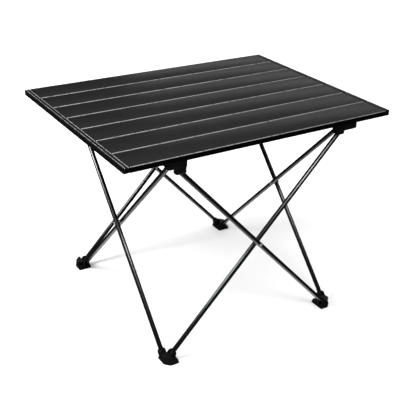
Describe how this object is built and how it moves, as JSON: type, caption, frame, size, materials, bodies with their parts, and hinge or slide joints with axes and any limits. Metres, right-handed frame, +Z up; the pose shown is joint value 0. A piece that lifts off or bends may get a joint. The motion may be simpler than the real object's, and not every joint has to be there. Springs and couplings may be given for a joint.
{
  "type": "folding side table",
  "caption": "Low folding camping side table: a roll-up slatted aluminium top on a square collapsible frame of crossed black tubes with plastic corner hubs and feet.",
  "frame": {"origin": "on the floor, under the middle of the table top", "axes": "+X along the slats to the right, +Y from the front edge to the back, +Z up"},
  "size_m": [0.565, 0.4188, 0.42],
  "materials": {
    "anodised_slat": "dark grey anodised extrusion with a fine lengthwise grain",
    "black_tube": "satin black anodised tube",
    "top_plastic": "moulded black plastic, finely ribbed",
    "hub_plastic": "moulded black plastic",
    "foot_plastic": "moulded black plastic",
    "pin_steel": "plain steel wire and rivets",
    "elastic_cord": "braided elastic cord"
  },
  "bodies": {
    "foot_front_left": {"foot_front_left": "foot_plastic"},
    "hub_front_left": {"hub_front_left": "hub_plastic"},
    "foot_front_right": {"foot_front_right": "foot_plastic"},
    "hub_front_right": {"hub_front_right": "hub_plastic"},
    "foot_back_right": {"foot_back_right": "foot_plastic"},
    "hub_back_right": {"hub_back_right": "hub_plastic", "rail_pin_right": "pin_steel"},
    "foot_back_left": {"foot_back_left": "foot_plastic"},
    "hub_back_left": {"hub_back_left": "hub_plastic", "rail_pin_left": "pin_steel"},
    "pole_front_outer": {"pole_front_outer": "black_tube"},
    "pole_front_inner": {"pole_front_inner": "black_tube", "rivet_front": "pin_steel"},
    "pole_right_outer": {"pole_right_outer": "black_tube"},
    "pole_right_inner": {"pole_right_inner": "black_tube", "rivet_right": "pin_steel"},
    "pole_back_outer": {"pole_back_outer": "black_tube", "rivet_back": "pin_steel"},
    "pole_back_inner": {"pole_back_inner": "black_tube"},
    "pole_left_outer": {"pole_left_outer": "black_tube", "rivet_left": "pin_steel"},
    "pole_left_inner": {"pole_left_inner": "black_tube"},
    "slat_1": {"slat_1": "anodised_slat", "cap_left_1": "top_plastic", "cap_right_1": "top_plastic", "catch_front_left": "top_plastic", "catch_front_right": "top_plastic"},
    "slat_2": {"slat_2": "anodised_slat", "cap_left_2": "top_plastic", "cap_right_2": "top_plastic"},
    "slat_3": {"slat_3": "anodised_slat", "cap_left_3": "top_plastic", "cap_right_3": "top_plastic"},
    "slat_4": {"slat_4": "anodised_slat", "cap_left_4": "top_plastic", "cap_right_4": "top_plastic", "elastic_cord_left": "elastic_cord", "elastic_cord_right": "elastic_cord"},
    "slat_5": {"slat_5": "anodised_slat", "cap_left_5": "top_plastic", "cap_right_5": "top_plastic"},
    "slat_6": {"slat_6": "anodised_slat", "cap_left_6": "top_plastic", "cap_right_6": "top_plastic"},
    "slat_7": {"slat_7": "anodised_slat", "cap_left_7": "top_plastic", "cap_right_7": "top_plastic", "catch_back_left": "top_plastic", "catch_back_right": "top_plastic"},
    "rail_left": {"support_rail_left": "black_tube"},
    "rail_right": {"support_rail_right": "black_tube"}
  },
  "joints": [
    {"name": "frame_fold", "type": "hinge", "parent": "foot_front_left", "child": "pole_left_outer", "pos_m": [-0.1925, -0.1785, 0.014], "axis": [1, 0, 0], "range_deg": [0, 37.5]},
    {"name": "hub_back_left_pivot", "type": "hinge", "parent": "pole_left_outer", "child": "hub_back_left", "pos_m": [-0.1925, 0.1785, 0.391], "axis": [1, 0, 0], "range_deg": [-37.5, 0]},
    {"name": "left_crossing", "type": "hinge", "parent": "pole_left_outer", "child": "pole_left_inner", "pos_m": [-0.1875, 0, 0.2025], "axis": [1, 0, 0], "range_deg": [-75, 0]},
    {"name": "foot_back_left_pivot", "type": "hinge", "parent": "pole_left_inner", "child": "foot_back_left", "pos_m": [-0.1825, 0.1785, 0.014], "axis": [1, 0, 0], "range_deg": [0, 37.5]},
    {"name": "back_outer_top_pivot", "type": "hinge", "parent": "hub_back_left", "child": "pole_back_outer", "pos_m": [-0.1785, 0.2007, 0.391], "axis": [0, 1, 0], "range_deg": [0, 37.5]},
    {"name": "back_crossing", "type": "hinge", "parent": "pole_back_outer", "child": "pole_back_inner", "pos_m": [0, 0.1957, 0.2025], "axis": [0, 1, 0], "range_deg": [-75, 0]},
    {"name": "front_inner_foot_pivot", "type": "hinge", "parent": "foot_front_left", "child": "pole_front_inner", "pos_m": [-0.1785, -0.1907, 0.014], "axis": [0, 1, 0], "range_deg": [-37.5, 0]},
    {"name": "hub_front_right_pivot", "type": "hinge", "parent": "pole_front_inner", "child": "hub_front_right", "pos_m": [0.1785, -0.1907, 0.391], "axis": [0, 1, 0], "range_deg": [0, 37.5]},
    {"name": "front_crossing", "type": "hinge", "parent": "pole_front_inner", "child": "pole_front_outer", "pos_m": [0, -0.1957, 0.2025], "axis": [0, 1, 0], "range_deg": [0, 75]},
    {"name": "hub_front_left_pivot", "type": "hinge", "parent": "pole_front_outer", "child": "hub_front_left", "pos_m": [-0.1785, -0.2007, 0.391], "axis": [0, 1, 0], "range_deg": [-37.5, 0]},
    {"name": "foot_front_right_pivot", "type": "hinge", "parent": "pole_front_outer", "child": "foot_front_right", "pos_m": [0.1785, -0.2007, 0.014], "axis": [0, 1, 0], "range_deg": [-37.5, 0]},
    {"name": "right_inner_top_pivot", "type": "hinge", "parent": "hub_front_right", "child": "pole_right_inner", "pos_m": [0.1825, -0.1785, 0.391], "axis": [1, 0, 0], "range_deg": [-37.5, 0]},
    {"name": "foot_back_right_pivot", "type": "hinge", "parent": "pole_right_inner", "child": "foot_back_right", "pos_m": [0.1825, 0.1785, 0.014], "axis": [1, 0, 0], "range_deg": [0, 37.5]},
    {"name": "right_crossing", "type": "hinge", "parent": "pole_right_inner", "child": "pole_right_outer", "pos_m": [0.1875, 0, 0.2025], "axis": [1, 0, 0], "range_deg": [0, 75]},
    {"name": "hub_back_right_pivot", "type": "hinge", "parent": "pole_right_outer", "child": "hub_back_right", "pos_m": [0.1925, 0.1785, 0.391], "axis": [1, 0, 0], "range_deg": [-37.5, 0]},
    {"name": "top_lift", "type": "slide", "parent": "hub_back_left", "child": "slat_4", "axis": [0, 0, 1], "range_m": [0, 0.12]},
    {"name": "top_roll", "type": "hinge", "parent": "slat_4", "child": "slat_3", "pos_m": [0, -0.03, 0.42], "axis": [1, 0, 0], "range_deg": [-50, 0], "deforming": ["elastic_cord_left", "elastic_cord_right"]},
    {"name": "roll_2_3", "type": "hinge", "parent": "slat_3", "child": "slat_2", "pos_m": [0, -0.09, 0.42], "axis": [1, 0, 0], "range_deg": [-50, 0]},
    {"name": "roll_1_2", "type": "hinge", "parent": "slat_2", "child": "slat_1", "pos_m": [0, -0.15, 0.42], "axis": [1, 0, 0], "range_deg": [-50, 0]},
    {"name": "roll_4_5", "type": "hinge", "parent": "slat_4", "child": "slat_5", "pos_m": [0, 0.03, 0.42], "axis": [1, 0, 0], "range_deg": [0, 50]},
    {"name": "roll_5_6", "type": "hinge", "parent": "slat_5", "child": "slat_6", "pos_m": [0, 0.09, 0.42], "axis": [1, 0, 0], "range_deg": [0, 50]},
    {"name": "roll_6_7", "type": "hinge", "parent": "slat_6", "child": "slat_7", "pos_m": [0, 0.15, 0.42], "axis": [1, 0, 0], "range_deg": [0, 50]},
    {"name": "rail_left_swing", "type": "hinge", "parent": "hub_back_left", "child": "rail_left", "pos_m": [-0.1595, 0.1757, 0.4042], "axis": [1, 0, 0], "range_deg": [0, 90]},
    {"name": "rail_right_swing", "type": "hinge", "parent": "hub_back_right", "child": "rail_right", "pos_m": [0.1595, 0.1757, 0.4042], "axis": [1, 0, 0], "range_deg": [0, 90]}
  ],
  "couplings": [
    {"joint": "hub_back_left_pivot", "follows": "frame_fold", "ratio": -1},
    {"joint": "left_crossing", "follows": "frame_fold", "ratio": -2},
    {"joint": "foot_back_left_pivot", "follows": "frame_fold", "ratio": 1},
    {"joint": "back_outer_top_pivot", "follows": "frame_fold", "ratio": 1},
    {"joint": "back_crossing", "follows": "frame_fold", "ratio": -2},
    {"joint": "front_inner_foot_pivot", "follows": "frame_fold", "ratio": -1},
    {"joint": "hub_front_right_pivot", "follows": "frame_fold", "ratio": 1},
    {"joint": "front_crossing", "follows": "frame_fold", "ratio": 2},
    {"joint": "hub_front_left_pivot", "follows": "frame_fold", "ratio": -1},
    {"joint": "foot_front_right_pivot", "follows": "frame_fold", "ratio": -1},
    {"joint": "right_inner_top_pivot", "follows": "frame_fold", "ratio": -1},
    {"joint": "foot_back_right_pivot", "follows": "frame_fold", "ratio": 1},
    {"joint": "right_crossing", "follows": "frame_fold", "ratio": 2},
    {"joint": "hub_back_right_pivot", "follows": "frame_fold", "ratio": -1},
    {"joint": "roll_2_3", "follows": "top_roll", "ratio": 1},
    {"joint": "roll_1_2", "follows": "top_roll", "ratio": 1},
    {"joint": "roll_4_5", "follows": "top_roll", "ratio": -1},
    {"joint": "roll_5_6", "follows": "top_roll", "ratio": -1},
    {"joint": "roll_6_7", "follows": "top_roll", "ratio": -1}
  ]
}
